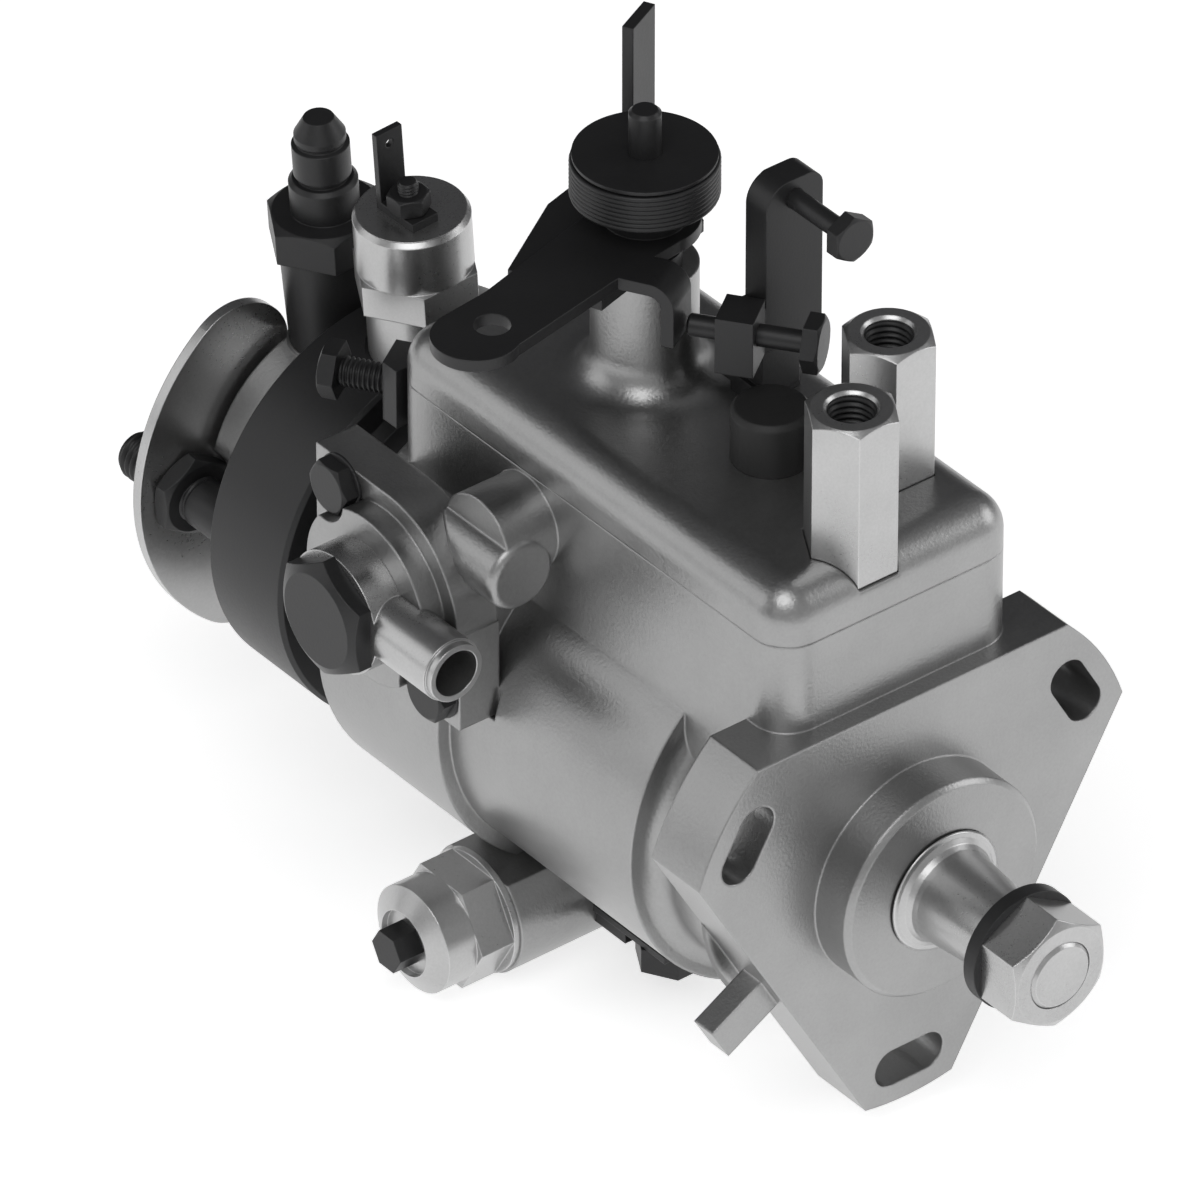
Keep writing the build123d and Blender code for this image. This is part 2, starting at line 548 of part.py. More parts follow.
# Inlet union and its closing cap
frame = head_frame(UNION_Y)
union = turn_z([(0, 18), (6.5, 18), (6.5, UNION_SEAT), (8.8, UNION_SEAT), (9.5, 49.7), (0, 49.7)])
union += hex_z(21, 49.7, 57.3, chamfer_top=0.3)
union += turn_z([(0, 57.3), (6.7, 57.3), (6.7, 64), (5.9, 64.8), (5, 64.8), (5, 66), (0, 66)])
union -= cyl_z(3, 17, 66.5)
keep(frame * union, "inlet_union")
cap = [(0, 66), (5.6, 66), (5.6, 72.6), (4.7, 72.9), (4.7, 73.4), (5, 73.7), (5, 75), (2.96, 78.5), (0, 78.5)]
keep(frame * turn_z(cap), "union_cap")

# Shut-off solenoid with moving needle
frame = head_frame(SOLENOID_Y)
can = [(0, SOLENOID_TIP), (SOLENOID_THREAD, SOLENOID_TIP), (SOLENOID_THREAD, SOLENOID_SEAT)]
can += [(10, SOLENOID_SEAT), (10, SOLENOID_HEX), (0, SOLENOID_HEX)]
can = turn_z(can)
can += hex_z(22, SOLENOID_HEX, SOLENOID_CAN)
shell = [(0, SOLENOID_CAN), (11.3, SOLENOID_CAN), (11.3, SOLENOID_TOP - 1)]
can += turn_z(shell + [(10.3, SOLENOID_TOP), (0, SOLENOID_TOP)])
can -= cyl_z(NEEDLE_RADIUS + RUNNING_GAP, SOLENOID_TIP - 1, SOLENOID_TIP + 32)
keep(frame * can, "shutoff_solenoid")
needle = [(0, SOLENOID_TIP - 4), (1.6, SOLENOID_TIP - 4), (NEEDLE_RADIUS, SOLENOID_TIP - 1.5)]
needle = turn_z(needle + [(NEEDLE_RADIUS, SOLENOID_TIP + 20), (0, SOLENOID_TIP + 20)])
keep(frame * needle, "solenoid_plunger")
tab = block(-4.5, 1.5, -6.3, 4.7, SOLENOID_TOP, SOLENOID_TOP + 2)
tab += block(-4.5, 1.5, 3.3, 4.7, SOLENOID_TOP, TAB_TOP)
tab -= cyl_y(0.9, 2, 6, -1.5, TAB_TOP - 2.9)
tab -= cyl_z(2, SOLENOID_TOP - 1, SOLENOID_TOP + 3, -1.5, -1.5)
keep(frame * tab, "terminal_tab")
stud = cyl_z(2, SOLENOID_TOP, SOLENOID_TOP + 8.3, -1.5, -1.5)
stud += hex_z(7.3, SOLENOID_TOP + 2, SOLENOID_TOP + 5.8, -1.5, -1.5)
keep(frame * stud, "terminal_nut")

# Advance device: housing, piston, spring, caps, nuts
advance = Part() + advance_envelope
flange = block(-15, 15, 66.2, 109.8, PAD_Z - 4.8, PAD_Z)
flange += block(-16, -2, 53, 75, PAD_Z - 1.5, PAD_Z) + block(2, 16, 101, 121, PAD_Z - 1.5, PAD_Z)
flange -= advance_envelope
advance -= cyl_x(PISTON_RADIUS + RUNNING_GAP, -34, 34, ADVANCE_Y, ADVANCE_Z)
for x0, x1 in [(-34, -24), (24, 34)]:
    advance -= cyl_x(CAP_THREAD, x0, x1, ADVANCE_Y, ADVANCE_Z)
advance -= Pos(0, ADVANCE_Y, ADVANCE_Z) * extrude(SlotOverall(18, 11), amount=12)
nuts = Part()
for x, y in ADVANCE_STUDS:
    flange -= cyl_z(STUD_RADIUS, PAD_Z - 2.8, PAD_Z + 1.2, x, y)
    nuts += hex_z(13, PAD_Z - 6.8, PAD_Z - 1.5, x, y)
    nuts += cyl_z(STUD_RADIUS, PAD_Z - 8.3, PAD_Z + 9.2, x, y)
keep(advance, "advance_housing")
keep(flange, "advance_flange")
keep(nuts, "advance_nuts")
piston = cyl_x(PISTON_RADIUS, -15, 15, ADVANCE_Y, ADVANCE_Z)
piston -= cyl_z(CAM_BALL_RADIUS + 0.6, ADVANCE_Z - 5, ADVANCE_Z + 16, 0, ADVANCE_Y)
piston -= cyl_x(6, 10, 16, ADVANCE_Y, ADVANCE_Z)
keep(piston, "advance_piston")
spring = cyl_x(5.6, 10, 24, ADVANCE_Y, ADVANCE_Z) - cyl_x(4.2, 9, 27, ADVANCE_Y, ADVANCE_Z)
keep(spring, "advance_spring")
cap = [(-24, 0), (-24, CAP_THREAD), (-33, CAP_THREAD), (-33, 12.7), (-34.4, 12.7), (-34.4, 0)]
cap_left = turn_x(cap, ADVANCE_Y, ADVANCE_Z)
cap_left += hex_x(22, -42.1, -34.4, ADVANCE_Y, ADVANCE_Z)
nose = [(-42.1, 0), (-42.1, 11.1), (-48.7, 11.1), (-51.1, 6.8), (-49.6, 6.8), (-49.6, 0)]
cap_left += turn_x(nose, ADVANCE_Y, ADVANCE_Z)
cap_left -= cyl_x(3, -50, -23, ADVANCE_Y, ADVANCE_Z)
keep(cap_left, "advance_cap_left")
plug = hex_x(7.6, -55.2, -49.6, ADVANCE_Y, ADVANCE_Z) + cyl_x(3, -49.6, -40, ADVANCE_Y, ADVANCE_Z)
keep(plug, "advance_plug")
cap_right = cyl_x(CAP_THREAD, 24, 33, ADVANCE_Y, ADVANCE_Z) + cyl_x(12.7, 33, 34.4, ADVANCE_Y, ADVANCE_Z)
cap_right += hex_x(22, 34.4, 41, ADVANCE_Y, ADVANCE_Z)
cap_right += turn_x([(41, 0), (41, 9), (43, 8), (43, 0)], ADVANCE_Y, ADVANCE_Z)
keep(cap_right, "advance_cap_right")

# Side plate, bolts and banjo connection
side = side_envelope + cyl_x(18, BOSS_FACE, SIDE_FRONT, *BANJO_AXIS)
tube_room = cyl_y(TUBE_RADIUS, 60, BANJO_AXIS[0], TUBE_X, TUBE_Z)
side -= tube_room
side -= cyl_x(6, BOSS_FACE - 1, -42, *BANJO_AXIS)
bolts = Part()
for y, z in [(110, 47.0), (81, 16)]:
    side -= cyl_x(3, -50, -37, y, z) + cyl_x(6.3, -53, SIDE_FRONT, y, z)
    bolts += hex_x(10, SIDE_FRONT - 4.2, SIDE_FRONT, y, z) + cyl_x(3, SIDE_FRONT, -32, y, z)
keep(side, "side_plate")
keep(bolts, "side_plate_bolts")
banjo = cyl_x(12.5, BANJO_FACE, BOSS_FACE, *BANJO_AXIS)
banjo += cyl_y(TUBE_RADIUS, 69, BANJO_AXIS[0], TUBE_X, TUBE_Z)
banjo += cyl_y(TUBE_RADIUS - 0.5, 67.4, 69, TUBE_X, TUBE_Z)
banjo -= block(BOSS_FACE, -40, BANJO_AXIS[0], 120, 10, 50) + block(-65, BANJO_FACE, 84, 120, 10, 50)
banjo -= cyl_x(6, -62, -40, *BANJO_AXIS)
banjo -= cyl_y(4.8, 60, 88, TUBE_X, TUBE_Z)
banjo -= cyl_x(9, -58.2, -53.6, *BANJO_AXIS)
keep(banjo, "banjo_union")
bolt = hex_x(22, BANJO_FACE - 4.5, BANJO_FACE, *BANJO_AXIS, turn=30)
bolt &= turn_x([(-64, 0), (-64, 9.6), (-62.2, 12.8), (-59.5, 12.8), (-59.5, 0)], *BANJO_AXIS)
bolt += cyl_x(6, BANJO_FACE, -42, *BANJO_AXIS)
bolt -= cyl_x(2.5, -57, -41, *BANJO_AXIS) + cyl_z(1.8, 22, 38, -56, BANJO_AXIS[0])
keep(bolt, "banjo_bolt")

# Rear stud, nut and crescent plate
stud_tip = CRESCENT_FRONT + 15.8
stud = cyl_y(5, DRUM_REAR - 10.6, stud_tip - 1, REAR_STUD_X)
stud += cyl_y(4.3, stud_tip - 1, stud_tip, REAR_STUD_X)
keep(stud, "rear_stud")
nut = hex_y(15, CRESCENT_FRONT - REAR_NUT_HEIGHT, CRESCENT_FRONT, REAR_STUD_X, 0, turn=30)
nut -= cyl_y(5, CRESCENT_FRONT - 9.7, CRESCENT_FRONT + 5.3, REAR_STUD_X)
keep(nut, "rear_nut")
arc = Circle(43) - Circle(19)
reach = math.radians(52)
wedge = [(0, 0), (-80 * math.cos(reach), 80 * math.sin(reach)), (-80, 0)]
wedge += [(-80 * math.cos(reach), -80 * math.sin(reach))]
arc &= make_face(Polyline(*wedge, close=True))
for side in [-1, 1]:
    arc += Pos(-31 * math.cos(reach), side * 31 * math.sin(reach)) * Circle(12)
crescent = Pos(0, CRESCENT_FRONT, 0) * extrude(Plane.XZ * arc, amount=-CRESCENT_THICKNESS)
crescent -= cyl_y(5, CRESCENT_FRONT - 9.7, CRESCENT_FRONT + 10.3, REAR_STUD_X)
keep(crescent, "crescent_plate")

# Throttle shaft with its inner crank
shaft = [(0, 46), (THROTTLE_RADIUS, 46), (THROTTLE_RADIUS, BOSS_TOP + 0.3), (7, BOSS_TOP + 0.3)]
shaft += [(7, STOP_PLATE_Z), (THROTTLE_RADIUS, STOP_PLATE_Z), (THROTTLE_RADIUS, STACK_BOTTOM)]
shaft += [(3.1, STACK_BOTTOM), (3.1, 126), (2.4, 126.7), (0, 126.7)]
throttle = turn_z(shaft, *THROTTLE)
throttle += cyl_z(6.5, 46, 49, *THROTTLE) + block(-3, 3, 79.5, 91, 46, 49) + cyl_z(3, 46, 49, 0, 91)
throttle += cyl_z(1.5, 39.5, 46, 0, 91)
keep(throttle, "throttle_shaft")
hole = cyl_z(THROTTLE_RADIUS, 90, 110, *THROTTLE)
along_plate = Pos(*THROTTLE, 0) * Rot(0, 0, 15.5)
plate = [(-22, -6.2), (10, -6.2), (20.5, 8), (20.5, 15.5), (16, 20.2), (-2.7, 20.2), (-24.3, 13.5)]
stop_plate = along_plate * prism(plate, STOP_PLATE_Z, STOP_PLATE_Z + 2.5)
stop_plate += cyl_z(8, STOP_PLATE_Z + 2.5, LEVER_Z, *THROTTLE)
blade = block(-4.65, 4.65, -1.15, 1.15, STOP_PLATE_Z, 134)
blade += block(-6.6, 6.6, -1.15, 1.15, STOP_PLATE_Z, 102)
stop_plate += along(11.6, 96, 0, 26) * blade
keep(stop_plate - hole, "stop_plate")
lever = [(-50, 76.9), (-38, 78.4), (-9.7, 86.2), (0, 90), (8, 82), (0, 69), (-17.9, 66.4), (-49, 60.2)]
lever = prism(lever, 0, 1)
lever += cyl_z(8.5, 0, 1, -48, 68.6) + cyl_z(10.5, 0, 1, *THROTTLE)
lever = Pos(0, 0, LEVER_Z) * scale(lever, (1, 1, LEVER_THICKNESS))
arm_place = along(-7.1, 59.5, 0, -59.8)
lever_top = LEVER_Z + LEVER_THICKNESS
bend_inner = BEND_OUTER - LEVER_THICKNESS
bend = Line((-20, LEVER_Z), (-20, lever_top)) + Line((-20, lever_top), (-BEND_OUTER, lever_top))
bend += RadiusArc((-BEND_OUTER, lever_top), (0, lever_top - BEND_OUTER), BEND_OUTER)
bend += Polyline((0, lever_top - BEND_OUTER), (0, 90), (-LEVER_THICKNESS, 90))
bend += Line((-LEVER_THICKNESS, 90), (-LEVER_THICKNESS, LEVER_Z - bend_inner))
bend += RadiusArc((-LEVER_THICKNESS, LEVER_Z - bend_inner), (-BEND_OUTER, LEVER_Z), -bend_inner)
bend += Line((-BEND_OUTER, LEVER_Z), (-20, LEVER_Z))
lever += arm_place * Pos(0, 4.5, 0) * extrude(Plane.XZ * make_face(bend), amount=9)
lever += cyl_z(8, LEVER_Z + LEVER_THICKNESS, STACK_BOTTOM, *THROTTLE)
lever -= hole + cyl_z(3.5, 95, 110, -43.8, 69.2)
keep(lever, "throttle_lever")
stack = cyl_z(14.1, STACK_BOTTOM, STACK_TOP - 0.7, *THROTTLE) - cyl_z(8.5, 100, 120, *THROTTLE)
keep(stack, "throttle_spring")
cap = cyl_z(13.6, STACK_TOP - 0.7, STACK_TOP, *THROTTLE)
cap += cyl_z(8.5, STACK_BOTTOM, STACK_TOP - 0.7, *THROTTLE)
keep(cap - cyl_z(3.1, 100, 120, *THROTTLE), "throttle_cap")
spring = cyl_y(3.2, 67, 89.5, 0, 41.5) - cyl_y(2.2, 60, 95, 0, 41.5)
keep(spring, "governor_spring")

# Stop bracket with idle and maximum speed screws
idle_place = along(*BLOCK, 0, IDLE_DIRECTION)
bracket = idle_place * block(-3.65, 3.65, -4.3, 4.3, 85, 97)
bracket += block(1, 8, 51.1, 57.1, 85, 95)
upright = block(5.8, 19.1, 51.1, 57.1, 85, 121)
upright = fillet(upright.edges().filter_by(Axis.Y).group_by(Axis.Z)[-1].sort_by(Axis.X)[0], 5.5)
bracket += fillet(upright.edges().filter_by(Axis.Y).sort_by(Axis.X)[-1:], 3.5)
bracket += block(9, 18, 56, 60, 71, 92) + block(8, 19, 57, 67, COVER_TOP, 73)
bracket -= idle_place * cyl_x(2.15, -10, 10, 0, IDLE_Z)
bracket -= cyl_y(2, 50, 60, *MAX_SCREW)
bracket -= cyl_z(BRACKET_SCREW_RADIUS, 68, 74, *BRACKET_SCREW)
bracket -= cyl_z(BOSS_RADIUS + BOSS_FILLET + SEAT_GAP, COVER_TOP - 1, COVER_TOP + 2, *THROTTLE)
keep(bracket, "stop_bracket")
reach = math.hypot(IDLE_HEAD[0] - BLOCK[0], IDLE_HEAD[1] - BLOCK[1])
idle = cyl_x(2.15, -9.8, reach, 0, IDLE_Z) + hex_x(10, reach - 3.3, reach, 0, IDLE_Z)
keep(idle_place * idle, "idle_screw")
screw = cyl_y(2, 34, 60, *MAX_SCREW) + hex_y(8.4, 33.4, 36.7, *MAX_SCREW)
keep(screw, "max_speed_screw")
screw = cyl_z(BRACKET_SCREW_RADIUS, 65.5, 73, *BRACKET_SCREW) + hex_z(8, 73, 76.5, *BRACKET_SCREW)
keep(screw, "bracket_screw")

# Rear stop lug and screw
rear_place = along(REAR_LUG[0], REAR_LUG[1], 0, REAR_DIRECTION)
lug = rear_place * block(-4, 4, -4, 4, 44.5, 57.5)
lug += block(-27, -17, BOX_REAR, 124, 44.5, 57.5)
lug -= block(-40, 0, 110, BOX_REAR, 40, 60)
lug -= rear_place * cyl_x(3, -10, 2.2, 0, REAR_LUG[2])
keep(lug, "rear_stop_lug")
screw = cyl_x(3, -15.2, 2.2, 0, REAR_LUG[2]) + hex_x(10, -17.0, -13.5, 0, REAR_LUG[2])
keep(rear_place * screw, "rear_stop_screw")
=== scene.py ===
import math
import random

import bpy
from mathutils import Matrix, Vector


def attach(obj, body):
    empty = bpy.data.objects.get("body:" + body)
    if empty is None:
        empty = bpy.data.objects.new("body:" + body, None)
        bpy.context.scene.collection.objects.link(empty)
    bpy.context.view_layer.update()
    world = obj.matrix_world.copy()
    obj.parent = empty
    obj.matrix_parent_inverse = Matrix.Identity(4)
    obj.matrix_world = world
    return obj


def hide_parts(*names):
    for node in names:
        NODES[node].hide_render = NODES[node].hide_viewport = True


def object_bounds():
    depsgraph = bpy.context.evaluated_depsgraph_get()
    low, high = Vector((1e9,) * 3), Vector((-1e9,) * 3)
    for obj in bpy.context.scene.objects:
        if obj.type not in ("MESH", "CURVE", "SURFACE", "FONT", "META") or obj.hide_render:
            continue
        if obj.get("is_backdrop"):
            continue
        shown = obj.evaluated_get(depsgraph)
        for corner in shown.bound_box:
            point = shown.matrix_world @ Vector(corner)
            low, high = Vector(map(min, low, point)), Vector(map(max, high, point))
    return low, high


bl_info = {
    "name": "Injection pump looks",
    "version": (1, 0, 0),
    "blender": (4, 5, 0),
    "location": "View3D > Sidebar > Pump",
    "description": "Dresses the packed injection pump with surfaces, threads, coils and a studio",
    "category": "Object",
}

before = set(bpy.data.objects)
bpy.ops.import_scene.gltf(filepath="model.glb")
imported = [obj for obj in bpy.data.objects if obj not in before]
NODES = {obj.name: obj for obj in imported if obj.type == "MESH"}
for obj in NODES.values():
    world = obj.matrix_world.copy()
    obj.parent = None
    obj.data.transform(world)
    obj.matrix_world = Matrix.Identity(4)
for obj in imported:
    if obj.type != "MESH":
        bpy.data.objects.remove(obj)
MM = 0.001

# Node names by the look they take
CASTINGS = ("pump_housing", "governor_cover", "side_plate", "end_plate", "advance_housing")
LIGHT_STEEL = (
    "pillar_nuts", "drive_shaft", "shaft_key", "drive_nut", "banjo_union", "shutoff_solenoid",
    "advance_cap_left", "advance_cap_right", "arm_pivot_pin", "transfer_liner", "transfer_rotor",
    "advance_piston", "distributor_rotor", "metering_valve", "cam_ring", "cam_advance_screw",
    "cam_rollers", "roller_shoes", "pumping_plungers", "transfer_vanes", "solenoid_plunger",
    "governor_weights", "weight_cage", "thrust_sleeve", "governor_arm", "governor_link", "crescent_plate",
)
BLACK_STEEL = (
    "hydraulic_head", "stop_plate", "throttle_lever", "throttle_cap", "stop_bracket", "bracket_screw",
    "rear_stop_lug", "inlet_union", "union_cap", "banjo_bolt", "drive_washer",
    "advance_nuts", "advance_plug", "terminal_tab", "end_plate_screws", "advance_flange", "throttle_shaft",
)
SPRINGS = ("advance_spring",)
RUBBER = ("cover_bung",)


# Stations of the small parts, in millimetres in the part's frame
HEAD_TILT = math.radians(-3.7)
TILT = (math.sin(HEAD_TILT), 0, math.cos(HEAD_TILT))
IDLE_BLOCK = Vector((0.2, 51.7, 92.0))
IDLE_HEAD = Vector((9.6, 38.8, 92.0))
IDLE_TAIL = 9.8
IDLE_SLOPE = math.radians(-53.8)
MAX_SCREW = (12.5, 116.8)
MAX_TAIL_Y = 60.0
MAX_HEAD_Y = 36.7
SCREW_HEAD = 3.3
REAR_LUG = Vector((-21.6, 122.9, 51.0))
REAR_SLOPE = math.radians(-56.7)
REAR_TAIL = 2.2
REAR_HEAD = 13.5
PLATE_FACE = -47.5
PLATE_BOLTS = ((110.0, 47.0), (81.0, 16.0))
STUD_X = -32.2
STUD_FACE = 160.6
STUD_THREAD = 173.6
STUD_TIP = 195.5
NUT_FACE = 175.5
TERMINAL = (74.0, 142.5, -1.5)
PILLARS = ((-5.0, 12.8), (15.5, 27.25))
PILLAR_THREAD = 81.5
PILLAR_DEPTH = 16.2
THROTTLE_Y = 79.5
COIL_BOTTOM = 107.8
COIL_TOP = 116.6
GOVERNOR_SPRING = (0, 67.2, 41.5)
SOLENOID_CAN = (72.0, 144.0)


class Socket:
    """One shader value that can be added, multiplied and mixed like a number."""

    def __init__(self, tree, socket):
        self.tree = tree
        self.socket = socket

    def node(self, kind, links=None, out=0, **settings):
        """Adds any node to the same tree and returns one of its outputs."""
        new = self.tree.nodes.new(kind)
        for key, value in settings.items():
            setattr(new, key, value)
        for key, value in (links or {}).items():
            target = new.inputs[key]
            if isinstance(value, Socket):
                self.tree.links.new(value.socket, target)
            else:
                target.default_value = value
        return Socket(self.tree, new.outputs[out])

    def _maths(self, operation, first, second):
        return self.node("ShaderNodeMath", {0: first, 1: second}, operation=operation)

    def __add__(self, other):
        return self._maths("ADD", self, other)

    def __radd__(self, other):
        return self._maths("ADD", other, self)

    def __sub__(self, other):
        return self._maths("SUBTRACT", self, other)

    def __rsub__(self, other):
        return self._maths("SUBTRACT", other, self)

    def __mul__(self, other):
        return self._maths("MULTIPLY", self, other)

    def __rmul__(self, other):
        return self._maths("MULTIPLY", other, self)

    def clamp(self):
        """The value held between 0 and 1."""
        return self.node("ShaderNodeClamp", {"Value": self})

    def between(self, low, high):
        """A colour between two colours, chosen by this value."""
        return self.node("ShaderNodeMix", {"Factor": self, 6: low, 7: high}, out=2, data_type="RGBA")


class Metal(bpy.types.PropertyGroup):
    """Surface values of one finish."""

    dark: bpy.props.FloatVectorProperty(
        name="Dark tone", description="Base colour in hollows", size=4,
        default=(0.3, 0.3, 0.31, 1), subtype="COLOR")
    light: bpy.props.FloatVectorProperty(
        name="Light tone", description="Base colour on open faces", size=4,
        default=(0.5, 0.5, 0.5, 1), subtype="COLOR")
    metallic: bpy.props.FloatProperty(name="Metallic", description="Share of metal reflection", default=1.0)
    roughness: bpy.props.FloatProperty(name="Roughness", description="Mean roughness", default=0.4)
    spread: bpy.props.FloatProperty(
        name="Roughness spread", description="How much roughness varies", default=0.12)
    grain: bpy.props.FloatProperty(name="Grain", description="Grain count per metre", default=1200.0)
    relief: bpy.props.FloatProperty(
        name="Relief", description="Height of the grain", default=0.00004, unit="LENGTH", precision=6)
    edge: bpy.props.FloatProperty(
        name="Edge radius", description="Radius by which edges read as broken", default=0.0005,
        unit="LENGTH", precision=5)
    # How much lighter edges are painted: partly wear, partly a painted highlight along them.
    wear_and_highlight: bpy.props.FloatProperty(name="Edge wear", description="How much lighter edges are", default=0.5)


class Studio(bpy.types.PropertyGroup):
    """Camera, floor and lights."""

    azimuth: bpy.props.FloatProperty(
        name="Azimuth", description="Camera turn round Z", default=math.radians(-38.4), unit="ROTATION")
    elevation: bpy.props.FloatProperty(
        name="Elevation", description="Camera height angle", default=math.radians(35.7), unit="ROTATION")
    distance: bpy.props.FloatProperty(
        name="Distance", description="Camera to target", default=3.0, unit="LENGTH")
    picture_width: bpy.props.FloatProperty(
        name="Picture width", description="Width seen at the target", default=0.226, unit="LENGTH")
    key: bpy.props.FloatProperty(
        name="Key light", description="Power of the key light", default=4.5, unit="POWER")
    fill: bpy.props.FloatProperty(
        name="Fill light", description="Power of the fill light", default=2.4, unit="POWER")
    sky: bpy.props.FloatProperty(name="Sky", description="Strength of the pale surround", default=0.5)
    paper_glow: bpy.props.FloatProperty(
        name="Paper glow", description="Light of the floor itself", default=0.6)
    floor_gap: bpy.props.FloatProperty(
        name="Floor gap", description="Floor below the lowest point", default=0.0002,
        unit="LENGTH", precision=5)


class Detail(bpy.types.PropertyGroup):
    """Sizes of the modelled small parts."""

    thread_depth: bpy.props.FloatProperty(
        name="Thread depth", description="Thread depth as a share of pitch", default=0.55)
    thread_sides: bpy.props.IntProperty(name="Thread sides", description="Facets round a thread", default=40)
    coil_turns: bpy.props.IntProperty(
        name="Coil turns", description="Turns of the breakaway spring", default=8)
    coil_wire: bpy.props.FloatProperty(
        name="Coil wire", description="Wire radius of that spring", default=0.00058, unit="LENGTH", precision=5)
    coil_sides: bpy.props.IntProperty(name="Wire sides", description="Facets round the wire", default=10)
    seed: bpy.props.IntProperty(name="Seed", description="Seed of the turned marks", default=7)


class PumpLooks(bpy.types.PropertyGroup):
    """All settings of the scene."""

    casting: bpy.props.PointerProperty(name="Casting", description="Blasted light alloy", type=Metal)
    steel: bpy.props.PointerProperty(name="Light steel", description="Satin plated steel", type=Metal)
    black: bpy.props.PointerProperty(name="Black steel", description="Black finished steel", type=Metal)
    rubber: bpy.props.PointerProperty(name="Rubber", description="Moulded rubber", type=Metal)
    detail: bpy.props.PointerProperty(name="Detail", description="Small parts", type=Detail)
    studio: bpy.props.PointerProperty(name="Studio", description="Camera and lights", type=Studio)


def finish(name, metal):
    """Builds one procedural finish with grain, tone change and lighter edges, partly wear and partly a painted
    highlight.
    """
    own_name = "finish_" + name
    if own_name in bpy.data.materials:
        return bpy.data.materials[own_name]
    material = bpy.data.materials.new(own_name)
    material.use_nodes = True
    tree = material.node_tree
    shader = tree.nodes["Principled BSDF"]
    start = Socket(tree, None)
    place = start.node("ShaderNodeTexCoord", out="Object")
    cloud = start.node("ShaderNodeTexNoise", {"Vector": place, "Scale": 38.0, "Detail": 5.0, "Roughness": 0.6})
    grain = start.node("ShaderNodeTexNoise", {"Vector": place, "Scale": metal.grain, "Detail": 3.0})
    round_normal = start.node("ShaderNodeBevel", {"Radius": metal.edge}, samples=6)
    flat_normal = start.node("ShaderNodeNewGeometry", out="Normal")
    facing = start.node(
        "ShaderNodeVectorMath", {0: round_normal, 1: flat_normal}, out="Value", operation="DOT_PRODUCT")
    # Edge mask: edges painted lighter, partly as wear and partly as a painted highlight.
    edge = ((1.0 - facing) * 6.0).clamp()
    tone = (0.35 + cloud * 0.5 + (grain - 0.5) * 0.25 + edge * metal.wear_and_highlight).clamp()
    colour = tone.between(tuple(metal.dark), tuple(metal.light))
    rough = (metal.roughness + (cloud - 0.5) * metal.spread + (grain - 0.5) * metal.spread).clamp()
    relief = start.node(
        "ShaderNodeBump", {"Strength": 0.6, "Distance": metal.relief, "Height": grain, "Normal": round_normal})
    tree.links.new(colour.socket, shader.inputs["Base Color"])
    tree.links.new(rough.socket, shader.inputs["Roughness"])
    tree.links.new(relief.socket, shader.inputs["Normal"])
    shader.inputs["Metallic"].default_value = metal.metallic
    return material


def place_on(point, direction, up=(0, 0, 1)):
    """Matrix whose local Z runs along a direction from a point given in millimetres."""
    z = Vector(direction).normalized()
    x = Vector(up).cross(z)
    if x.length < 1e-6:
        x = Vector((1, 0, 0))
    x.normalize()
    y = z.cross(x)
    turn = Matrix((x, y, z)).transposed().to_4x4()
    return Matrix.Translation(Vector(point) * MM) @ turn


def solid(name, rings, where, closed=True, smooth=35.0):
    """Mesh skinned through rings of equal count, given in millimetres."""
    count = len(rings[0])
    points = [where @ (Vector(p) * MM) for ring in rings for p in ring]
    faces = []
    for row in range(len(rings) - 1):
        for i in range(count):
            a = row * count + i
            b = row * count + (i + 1) % count
            faces.append((a, b, b + count, a + count))
    if closed:
        faces.append(tuple(reversed(range(count))))
        last = (len(rings) - 1) * count
        faces.append(tuple(last + i for i in range(count)))
    mesh = bpy.data.meshes.new(name)
    mesh.from_pydata(points, [], faces)
    mesh.validate()
    mesh.update()
    mesh.set_sharp_from_angle(angle=math.radians(smooth))
    thing = bpy.data.objects.new(name, mesh)
    bpy.context.scene.collection.objects.link(thing)
    return thing


def hex_radius(flats, angle):
    """Distance from the axis to a hexagon's side at an angle, corners at angle 0."""
    local = (angle % (math.pi / 3)) - math.pi / 6
    return flats / 2 / math.cos(local)


def hex_head(name, flats, height, where, turn=0.0, both=False):
    """Hexagon head or nut with turned chamfers, its base at local Z 0."""
    sides = 72
    flat_ring = flats / 2 * 0.95
    slope = math.tan(math.radians(30))
    angles = [2 * math.pi * i / sides for i in range(sides)]
    radii = [hex_radius(flats, a + turn) for a in angles]
    top = [(r * math.cos(a), r * math.sin(a), height - (r - flat_ring) * slope) for r, a in zip(radii, angles)]
    cap = [(flat_ring * math.cos(a), flat_ring * math.sin(a), height) for a in angles]
    if both:
        foot = [(flat_ring * math.cos(a), flat_ring * math.sin(a), 0) for a in angles]
        low = [(r * math.cos(a), r * math.sin(a), (r - flat_ring) * slope) for r, a in zip(radii, angles)]
        return solid(name, [foot, low, top, cap], where, smooth=20)
    low = [(r * math.cos(a), r * math.sin(a), 0) for r, a in zip(radii, angles)]
    return solid(name, [low, top, cap], where, smooth=20)


def threaded(name, radius, pitch, length, where, detail, inside=False):
    """Rod with a helical thread along local Z, or the thread of a hole."""
    sides = detail.thread_sides
    depth = pitch * detail.thread_depth
    steps = max(8, int(length / pitch * 6))
    rings = []
    for row in range(steps + 1):
        z = length * row / steps
        ends = min(1.0, min(z, length - z) / (pitch * 0.8))
        ring = []
        for i in range(sides):
            angle = 2 * math.pi * i / sides
            phase = (z / pitch - i / sides) % 1.0
            crest = 1.0 - abs(2 * phase - 1.0)
            crest = min(1.0, crest * 1.25)
            if inside:
                r = radius - depth * crest * ends
            else:
                r = radius - depth * (1.0 - crest * ends)
            ring.append((r * math.cos(angle), r * math.sin(angle), z))
        rings.append(ring)
    if inside:
        rings = [list(reversed(ring)) for ring in rings]
    return solid(name, rings, where, closed=not inside, smooth=60)


